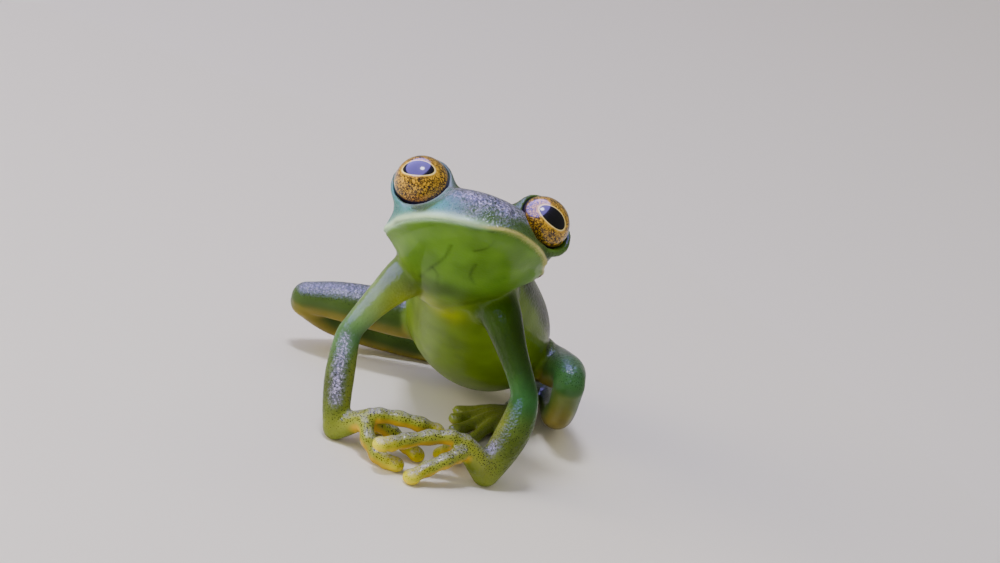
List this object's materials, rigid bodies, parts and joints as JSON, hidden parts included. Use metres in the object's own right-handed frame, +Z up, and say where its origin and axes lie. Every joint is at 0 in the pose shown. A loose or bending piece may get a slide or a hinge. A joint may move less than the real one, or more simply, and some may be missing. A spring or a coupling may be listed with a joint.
{
  "type": "glass frog",
  "caption": "Small tree-living glass frog at life size, sitting up on its forelegs with its hands crossed, big eyes on a broad flat head, hind legs folded and feet half webbed.",
  "frame": {"origin": "on the floor, under the middle of the frog's bounding box", "axes": "+Z up, the frog looks along -Y with its snout lifted, +X towards its own left side"},
  "size_m": [0.0186, 0.028, 0.0172],
  "materials": {
    "back_skin": "moist, finely grained",
    "belly_skin": "smooth, moist, translucent",
    "digit_skin": "moist, dotted",
    "eye": "polished, wet"
  },
  "bodies": {
    "root": {"head": "back_skin", "torso": "belly_skin", "right_eye": "eye", "left_eye": "eye", "right_upper_arm": "back_skin", "right_forearm": "back_skin", "right_hand": "digit_skin", "right_thigh": "back_skin", "right_shank": "back_skin", "right_tarsus": "back_skin", "right_foot": "digit_skin", "left_upper_arm": "back_skin", "left_forearm": "back_skin", "left_hand": "digit_skin", "left_thigh": "back_skin", "left_shank": "back_skin", "left_tarsus": "back_skin", "left_foot": "digit_skin"}
  },
  "joints": []
}
